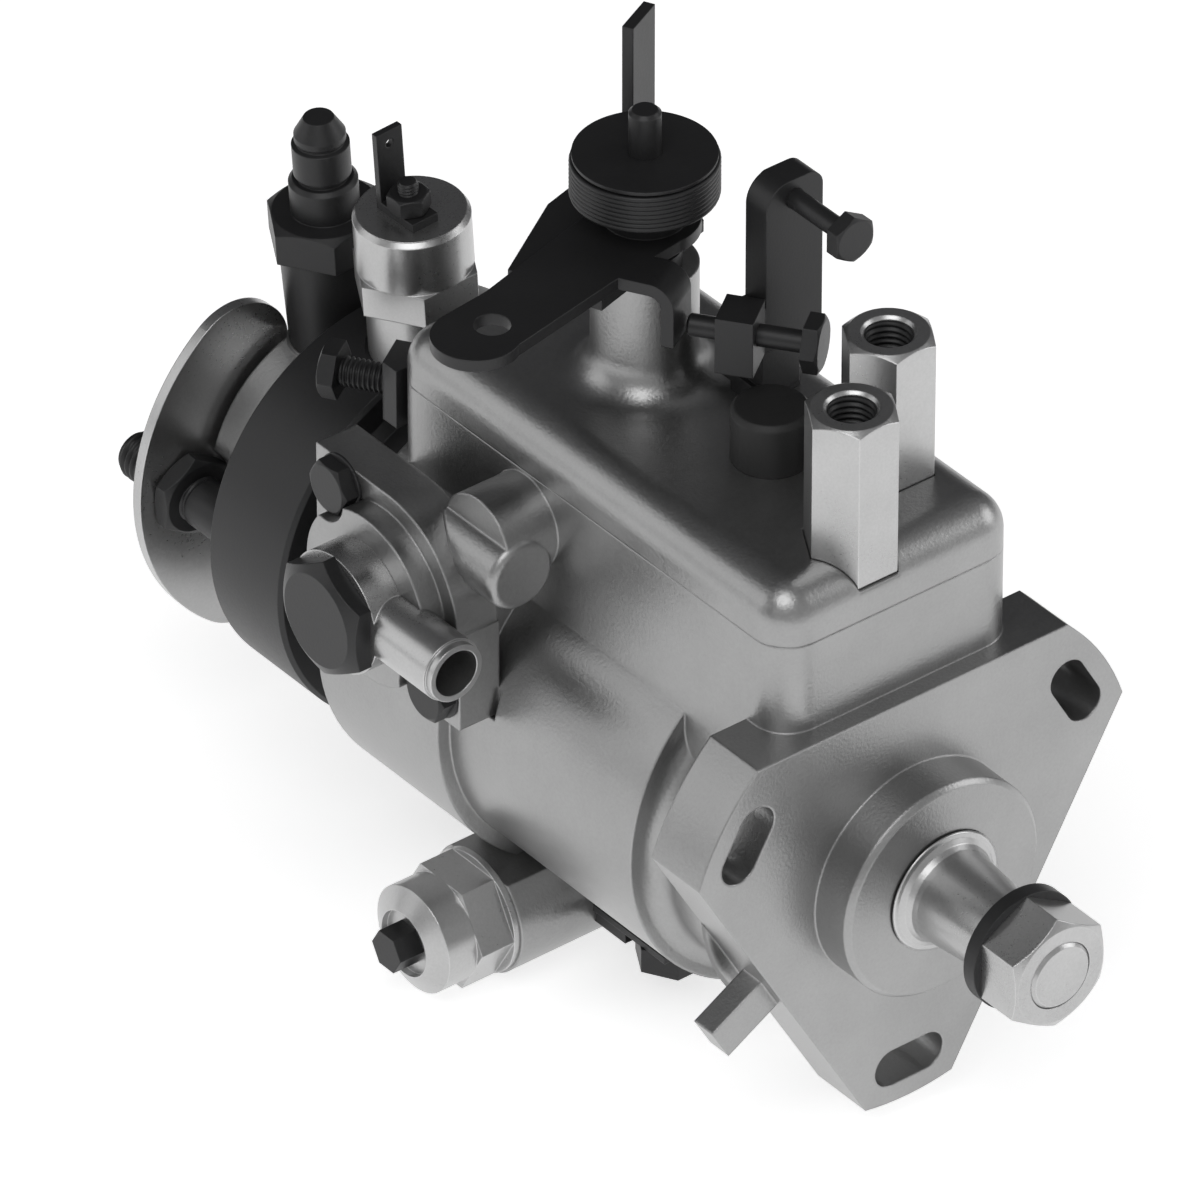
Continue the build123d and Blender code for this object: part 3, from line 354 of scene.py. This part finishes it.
def coil(name, radius, wire, turns, bottom, top, where, detail):
    """Helical coil of round wire, closed at both ends."""
    per_turn = 48
    sides = detail.coil_sides
    count = per_turn * turns
    rings = []
    for step in range(count + 1):
        angle = 2 * math.pi * step / per_turn
        z = bottom + wire + (top - bottom - 2 * wire) * step / count
        ring = []
        for i in range(sides):
            around = 2 * math.pi * i / sides
            r = radius + wire * math.cos(around)
            ring.append((r * math.cos(angle), r * math.sin(angle), z + wire * math.sin(around)))
        rings.append(ring)
    return solid(name, rings, where, smooth=80)


def tube(name, outline, where, sides=64, smooth=30):
    """Turned solid about local Z from (radius, z) points in millimetres."""
    rings = []
    for radius, z in outline:
        ring = []
        for i in range(sides):
            angle = 2 * math.pi * i / sides
            ring.append((radius * math.cos(angle), radius * math.sin(angle), z))
        rings.append(ring)
    return solid(name, rings, where, smooth=smooth)


def dress(thing, material, body, slot, *nodes):
    """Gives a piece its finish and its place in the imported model."""
    thing.data.materials.append(material)
    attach(thing, body)
    if nodes:
        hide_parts(*nodes)


def looks():
    """The settings stored on the scene."""
    return bpy.context.scene.pump_looks


def tilted(radius, y, side=0.0):
    """A point on the tilted head, given by its radius, its station and an offset across."""
    x = radius * math.sin(HEAD_TILT) + side * math.cos(HEAD_TILT)
    z = radius * math.cos(HEAD_TILT) - side * math.sin(HEAD_TILT)
    return (x, y, z)


class PUMP_OT_surfaces(bpy.types.Operator):
    """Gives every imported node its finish"""

    bl_idname = "pump.surfaces"
    bl_label = "Surfaces"

    def execute(self, context):
        s = looks()
        groups = (
            (CASTINGS, finish("cast_aluminium", s.casting)),
            (LIGHT_STEEL, finish("light_steel", s.steel)),
            (BLACK_STEEL, finish("black_steel", s.black)),
            (SPRINGS, finish("black_steel", s.black)),
            (RUBBER, finish("black_rubber", s.rubber)),
        )
        for names, material in groups:
            for name in names:
                mesh = NODES[name].data
                mesh.materials.clear()
                mesh.materials.append(material)
        return {"FINISHED"}


class PUMP_OT_screws(bpy.types.Operator):
    """Builds the adjusting screws, plate bolts, studs and nuts with real threads"""

    bl_idname = "pump.screws"
    bl_label = "Screws and threads"

    def execute(self, context):
        s = looks()
        black = finish("black_steel", s.black)
        d = s.detail
        way = Vector((math.cos(IDLE_SLOPE), math.sin(IDLE_SLOPE), 0))
        reach = (IDLE_HEAD - IDLE_BLOCK).length - SCREW_HEAD
        outline = [(1.7, 0), (2.15, 0.45), (2.15, IDLE_TAIL + reach)]
        rod = tube("idle_rod", outline, place_on(IDLE_BLOCK - way * IDLE_TAIL, way))
        dress(rod, black, "pump", "black_steel", "idle_screw")
        head = hex_head("idle_head", 10, SCREW_HEAD, place_on(IDLE_BLOCK + way * reach, way))
        dress(head, black, "pump", "black_steel", "idle_screw")

        x, z = MAX_SCREW
        outline = [(1.6, 0), (2.0, 0.4), (2.0, MAX_TAIL_Y - MAX_HEAD_Y)]
        rod = tube("max_rod", outline, place_on((x, MAX_TAIL_Y, z), (0, -1, 0)))
        dress(rod, black, "pump", "black_steel", "max_speed_screw")
        where = place_on((x, MAX_HEAD_Y, z), (0, -1, 0))
        head = hex_head("max_head", 8.4, SCREW_HEAD, where, turn=math.pi / 6)
        dress(head, black, "pump", "black_steel", "max_speed_screw")

        way = Vector((-math.cos(REAR_SLOPE), -math.sin(REAR_SLOPE), 0))
        where = place_on(REAR_LUG - way * REAR_TAIL, way)
        rod = threaded("rear_thread", 3.0, 1.0, REAR_TAIL + REAR_HEAD, where, d)
        dress(rod, black, "pump", "black_steel", "rear_stop_screw")
        head = hex_head("rear_head", 10, 3.5, place_on(REAR_LUG + way * REAR_HEAD, way))
        dress(head, black, "pump", "black_steel", "rear_stop_screw")

        for i, (y, z) in enumerate(PLATE_BOLTS):
            where = place_on((PLATE_FACE, y, z), (-1, 0, 0))
            head = hex_head("plate_bolt_%d" % (i + 1), 10, 3.9, where)
            dress(head, black, "pump", "black_steel", "side_plate_bolts")
            flange = tube("plate_washer_%d" % (i + 1), [(5.9, 0), (5.9, 0.5), (5.5, 0.7)], where)
            dress(flange, black, "pump", "black_steel", "side_plate_bolts")

        where = place_on((STUD_X, STUD_FACE, 0), (0, 1, 0))
        rod = tube("stud_shank", [(5, 0), (5, 13), (4.6, 13.6)], where)
        dress(rod, black, "pump", "black_steel", "rear_stud")
        where = place_on((STUD_X, STUD_THREAD, 0), (0, 1, 0))
        rod = threaded("stud_thread", 5.0, 1.5, STUD_TIP - STUD_THREAD, where, d)
        dress(rod, black, "pump", "black_steel", "rear_stud")
        where = place_on((STUD_X, NUT_FACE, 0), (0, 1, 0))
        nut = hex_head("stud_nut", 15, 4.2, where, turn=math.pi / 6, both=True)
        dress(nut, black, "pump", "black_steel", "rear_nut")

        foot = tilted(*TERMINAL)
        nut = hex_head("terminal_hex", 7.3, 3.8, place_on(foot, TILT), both=True)
        dress(nut, black, "pump", "black_steel", "terminal_nut")
        rod = threaded("terminal_thread", 2.0, 0.7, 6.3, place_on(foot, TILT), d)
        dress(rod, black, "pump", "black_steel", "terminal_nut")

        for i, (x, y) in enumerate(PILLARS):
            name = "pillar_thread_%d" % (i + 1)
            where = place_on((x, y, PILLAR_THREAD), (0, 0, 1))
            hole = threaded(name, 4.66, 1.25, PILLAR_DEPTH, where, d, inside=True)
            dress(hole, black, "pump", "black_steel")
        return {"FINISHED"}


class PUMP_OT_springs(bpy.types.Operator):
    """Builds the breakaway spring on the throttle shaft and the governor spring"""

    bl_idname = "pump.springs"
    bl_label = "Springs"

    def execute(self, context):
        s = looks()
        black = finish("black_steel", s.black)
        d = s.detail
        where = place_on((0, THROTTLE_Y, 0), (0, 0, 1))
        wire = d.coil_wire / MM
        wound = coil("breakaway_coil", 14.1 - wire, wire, d.coil_turns, COIL_BOTTOM, COIL_TOP, where, d)
        dress(wound, black, "throttle", "spring_steel", "throttle_spring")
        outline = [(12.9, COIL_BOTTOM + 0.1), (13.0, COIL_BOTTOM + 0.4)]
        outline += [(13.0, COIL_TOP - 0.2), (12.9, COIL_TOP)]
        core = tube("breakaway_core", outline, where)
        dress(core, black, "throttle", "spring_steel", "throttle_spring")
        where = place_on(GOVERNOR_SPRING, (0, 1, 0))
        wound = coil("governor_coil", 2.7, 0.45, 14, 0.0, 22.0, where, d)
        dress(wound, black, "pump", "spring_steel", "governor_spring")
        return {"FINISHED"}


class PUMP_OT_marks(bpy.types.Operator):
    """Builds the turned rings on top of the solenoid"""

    bl_idname = "pump.marks"
    bl_label = "Turned marks"

    def execute(self, context):
        s = looks()
        steel = finish("light_steel", s.steel)
        rng = random.Random(s.detail.seed)
        for i, radius in enumerate((10.9, 10.2)):
            lift = 0.12 + 0.02 * rng.random()
            where = place_on(tilted(*SOLENOID_CAN), TILT)
            outline = [(radius - 0.35, 0), (radius - 0.3, lift), (radius - 0.6, lift)]
            ring = tube("can_rim_%d" % (i + 1), outline, where)
            dress(ring, steel, "pump", "light_steel")
        return {"FINISHED"}


class PUMP_OT_stage(bpy.types.Operator):
    """Sets the floor, the pale surround, the lights and the camera"""

    bl_idname = "pump.stage"
    bl_label = "Stage"

    def execute(self, context):
        s = looks().studio
        low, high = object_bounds()
        scene = context.scene
        drop = low[2] - s.floor_gap
        mesh = bpy.data.meshes.new("floor")
        mesh.from_pydata([(-4, -4, drop), (4, -4, drop), (4, 4, drop), (-4, 4, drop)], [], [(0, 1, 2, 3)])
        floor = bpy.data.objects.new("floor", mesh)
        scene.collection.objects.link(floor)
        paper = bpy.data.materials.new("paper")
        paper.use_nodes = True
        shader = paper.node_tree.nodes["Principled BSDF"]
        shader.inputs["Base Color"].default_value = (0.95, 0.95, 0.95, 1)
        shader.inputs["Roughness"].default_value = 0.9
        shader.inputs["Emission Color"].default_value = (1, 1, 1, 1)
        shader.inputs["Emission Strength"].default_value = s.paper_glow
        mesh.materials.append(paper)
        floor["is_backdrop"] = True

        world = bpy.data.worlds.new("surround")
        world.use_nodes = True
        back = world.node_tree.nodes["Background"]
        start = Socket(world.node_tree, None)
        way = start.node("ShaderNodeTexCoord", out="Generated")
        along = start.node("ShaderNodeSeparateXYZ", {"Vector": way}, out="Y")
        height = start.node("ShaderNodeSeparateXYZ", {"Vector": way}, out="Z")
        across = start.node("ShaderNodeSeparateXYZ", {"Vector": way}, out="X")
        level = (0.6 - along * 0.55 - height * 0.22 - across * 0.22).clamp()
        shade = level.between((0.12, 0.12, 0.125, 1), (1, 1, 1, 1))
        world.node_tree.links.new(shade.socket, back.inputs["Color"])
        back.inputs["Strength"].default_value = s.sky
        scene.world = world

        target = Vector((0, 0.0928, 0.0083))
        lamps = (
            ("key", (-0.55, -0.35, 1.05), s.key, 0.9),
            ("fill", (-1.0, 0.9, 0.55), s.fill, 1.0),
            ("rim", (0.9, -0.5, 0.5), s.fill, 0.7),
        )
        for name, place, power, size in lamps:
            lamp = bpy.data.lights.new(name, "AREA")
            lamp.energy = power
            lamp.shape = "DISK"
            lamp.size = size
            thing = bpy.data.objects.new(name, lamp)
            thing.location = Vector(place)
            thing.rotation_euler = (target - Vector(place)).to_track_quat("-Z", "Y").to_euler()
            scene.collection.objects.link(thing)
            thing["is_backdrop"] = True

        camera = bpy.data.cameras.new("camera")
        camera.sensor_width = 36.0
        camera.lens = 36.0 * s.distance / s.picture_width
        camera.clip_end = 50
        back_way = Vector((
            math.sin(s.azimuth) * math.cos(s.elevation),
            -math.cos(s.azimuth) * math.cos(s.elevation),
            math.sin(s.elevation),
        ))
        eye = bpy.data.objects.new("camera", camera)
        eye.location = target + back_way * s.distance
        eye.rotation_euler = (-back_way).to_track_quat("-Z", "Y").to_euler()
        scene.collection.objects.link(eye)
        scene.camera = eye
        scene.view_settings.view_transform = "Standard"
        return {"FINISHED"}


class PUMP_PT_panel(bpy.types.Panel):
    """Sidebar panel with every step of the build"""

    bl_idname = "PUMP_PT_panel"
    bl_label = "Injection pump"
    bl_space_type = "VIEW_3D"
    bl_region_type = "UI"
    bl_category = "Pump"

    def draw(self, context):
        for step in STEPS:
            self.layout.operator(step.bl_idname)


STEPS = (PUMP_OT_surfaces, PUMP_OT_screws, PUMP_OT_springs, PUMP_OT_marks, PUMP_OT_stage)
CLASSES = (Metal, Studio, Detail, PumpLooks) + STEPS + (PUMP_PT_panel,)


def register():
    for item in CLASSES:
        bpy.utils.register_class(item)
    bpy.types.Scene.pump_looks = bpy.props.PointerProperty(type=PumpLooks)


def unregister():
    del bpy.types.Scene.pump_looks
    for item in reversed(CLASSES):
        bpy.utils.unregister_class(item)


def set_finishes():
    """Values of the four finishes."""
    s = looks()
    s.casting.dark = (0.18, 0.18, 0.18, 1)
    s.casting.light = (0.45, 0.45, 0.45, 1)
    s.casting.metallic = 0.95
    s.casting.roughness = 0.34
    s.casting.grain = 1500.0
    s.casting.relief = 0.00009
    s.casting.edge = 0.0007
    s.casting.wear_and_highlight = 0.15
    s.steel.dark = (0.22, 0.22, 0.22, 1)
    s.steel.light = (0.62, 0.62, 0.62, 1)
    s.steel.metallic = 0.95
    s.steel.roughness = 0.3
    s.steel.grain = 1900.0
    s.steel.relief = 0.00003
    s.steel.edge = 0.00035
    s.black.dark = (0.008, 0.008, 0.0085, 1)
    s.black.light = (0.032, 0.032, 0.033, 1)
    s.black.metallic = 0.35
    s.black.roughness = 0.42
    s.black.grain = 1700.0
    s.black.relief = 0.00003
    s.black.edge = 0.00035
    s.black.wear_and_highlight = 0.7
    s.rubber.dark = (0.008, 0.008, 0.008, 1)
    s.rubber.light = (0.018, 0.018, 0.018, 1)
    s.rubber.metallic = 0.0
    s.rubber.roughness = 0.55
    s.rubber.edge = 0.0008
    s.rubber.wear_and_highlight = 0.2


def main():
    register()
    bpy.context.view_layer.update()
    set_finishes()
    for step in STEPS:
        group, name = step.bl_idname.split(".")
        getattr(getattr(bpy.ops, group), name)()


if __name__ == "__main__":
    main()
